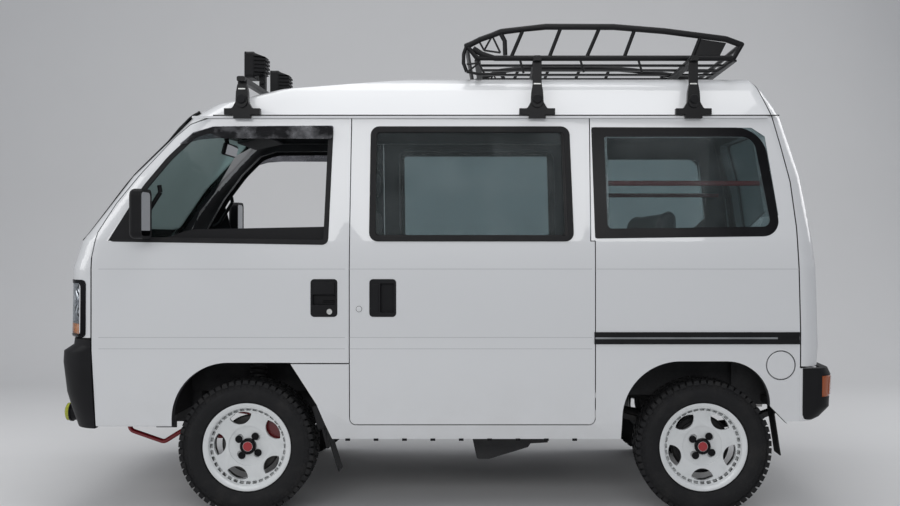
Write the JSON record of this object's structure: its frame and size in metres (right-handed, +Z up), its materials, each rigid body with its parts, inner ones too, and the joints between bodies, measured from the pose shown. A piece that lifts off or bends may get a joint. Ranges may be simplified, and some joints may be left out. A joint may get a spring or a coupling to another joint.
{
  "type": "kei van",
  "caption": "Small forward-control van with a high roof, hinged front doors and tailgate, sliding side doors, steered wheels, roof basket and driving lamps.",
  "frame": {"origin": "on the ground, at mid length and mid width", "axes": "+X forward, +Y to the van's left, +Z up"},
  "size_m": [3.295, 1.68, 2.075],
  "materials": {
    "body_paint": "white gloss paint",
    "inner_metal": "painted pressed steel",
    "black_plastic": "grained black plastic",
    "rack_black": "satin black coating",
    "glass": "green tinted glass",
    "tyre": "black tyre",
    "wheel_white": "white painted wheel",
    "steel": "turned steel",
    "cast": "cast and chassis black",
    "red_paint": "red paint",
    "lamp_clear": "clear lamp lens",
    "lamp_yellow": "yellow lamp lens",
    "lamp_rear": "amber and red lamp lens",
    "seat_cloth": "grey seat cloth",
    "trim": "dark cabin trim",
    "rubber": "black rubber"
  },
  "bodies": {
    "body": {"floor_pan": "inner_metal", "door_steps": "inner_metal", "wheelhouses": "inner_metal", "frame_rails": "inner_metal", "side_frame_left": "body_paint", "side_frame_right": "body_paint", "front_panel": "body_paint", "rear_panel": "body_paint", "roof_panel": "body_paint", "drip_rails": "body_paint", "windscreen": "glass", "side_glass": "glass", "sliding_doors": "body_paint", "slide_rails": "black_plastic", "slide_handles": "black_plastic", "front_bumper": "black_plastic", "rear_bumper": "black_plastic", "headlamps": "lamp_clear", "fog_lamps": "lamp_yellow", "rear_lamps": "lamp_rear", "roof_bars": "rack_black", "roof_basket": "rack_black", "driving_lamps": "black_plastic", "front_seats": "seat_cloth", "rear_seat": "seat_cloth", "dashboard": "trim", "cargo_bars": "red_paint", "mud_flaps": "rubber", "engine_block": "cast", "exhaust": "steel", "fuel_tank": "cast", "front_suspension": "cast", "front_brace": "red_paint", "rear_axle": "cast", "leaf_springs": "cast"},
    "front_door_left_body": {"front_door_left": "body_paint", "door_handle_left": "black_plastic", "mirror_left": "black_plastic"},
    "front_door_right_body": {"front_door_right": "body_paint", "door_handle_right": "black_plastic", "mirror_right": "black_plastic"},
    "tailgate_body": {"tailgate": "body_paint", "tailgate_glass": "glass"},
    "fuel_lid_body": {"fuel_lid": "body_paint"},
    "knuckle_left_body": {"knuckle_left": "cast", "caliper_left": "red_paint"},
    "knuckle_right_body": {"knuckle_right": "cast", "caliper_right": "red_paint"},
    "steering_wheel_body": {"steering_wheel": "trim"},
    "wheel_front_left": {"tyre_front_left": "tyre", "rim_front_left": "wheel_white", "brake_disc_front_left": "steel"},
    "wheel_front_right": {"tyre_front_right": "tyre", "rim_front_right": "wheel_white", "brake_disc_front_right": "steel"},
    "wheel_rear_left": {"tyre_rear_left": "tyre", "rim_rear_left": "wheel_white"},
    "wheel_rear_right": {"tyre_rear_right": "tyre", "rim_rear_right": "wheel_white"}
  },
  "joints": [
    {"name": "steer_left", "type": "hinge", "parent": "body", "child": "knuckle_left_body", "pos_m": [0.8065, 0.556, 0.185], "axis": [0, -0.255, 0.9669], "range_deg": [-33, 33]},
    {"name": "steer_right", "type": "hinge", "parent": "body", "child": "knuckle_right_body", "pos_m": [0.8065, -0.556, 0.185], "axis": [0, 0.255, 0.9669], "range_deg": [-33, 33]},
    {"name": "steering_wheel_turn", "type": "hinge", "parent": "body", "child": "steering_wheel_body", "pos_m": [1.0565, -0.335, 0.96], "axis": [-0.5299, 0, 0.848], "range_deg": [-451, 451]},
    {"name": "front_door_left_hinge", "type": "hinge", "parent": "body", "child": "front_door_left_body", "pos_m": [1.438, 0.7, 0.9], "axis": [0, 0, 1], "range_deg": [-65, 0]},
    {"name": "front_door_right_hinge", "type": "hinge", "parent": "body", "child": "front_door_right_body", "pos_m": [1.438, -0.7, 0.9], "axis": [0, 0, 1], "range_deg": [0, 65]},
    {"name": "tailgate_hinge", "type": "hinge", "parent": "body", "child": "tailgate_body", "pos_m": [-1.34, 0, 1.876], "axis": [0, 1, 0], "range_deg": [0, 85]},
    {"name": "fuel_lid_hinge", "type": "hinge", "parent": "body", "child": "fuel_lid_body", "pos_m": [-1.3495, 0.7005, 0.6245], "axis": [0, 0, 1], "range_deg": [-110, 0]},
    {"name": "front_left_spin", "type": "hinge", "parent": "knuckle_left_body", "child": "wheel_front_left", "pos_m": [0.8065, 0.61, 0.281], "axis": [0, 1, 0], "continuous": true},
    {"name": "front_right_spin", "type": "hinge", "parent": "knuckle_right_body", "child": "wheel_front_right", "pos_m": [0.8065, -0.61, 0.281], "axis": [0, 1, 0], "continuous": true},
    {"name": "rear_left_spin", "type": "hinge", "parent": "body", "child": "wheel_rear_left", "pos_m": [-1.0935, 0.61, 0.281], "axis": [0, 1, 0], "continuous": true},
    {"name": "rear_right_spin", "type": "hinge", "parent": "body", "child": "wheel_rear_right", "pos_m": [-1.0935, -0.61, 0.281], "axis": [0, 1, 0], "continuous": true}
  ],
  "couplings": [
    {"joint": "steer_right", "follows": "steer_left", "ratio": 1},
    {"joint": "steering_wheel_turn", "follows": "steer_left", "ratio": 13.636}
  ]
}
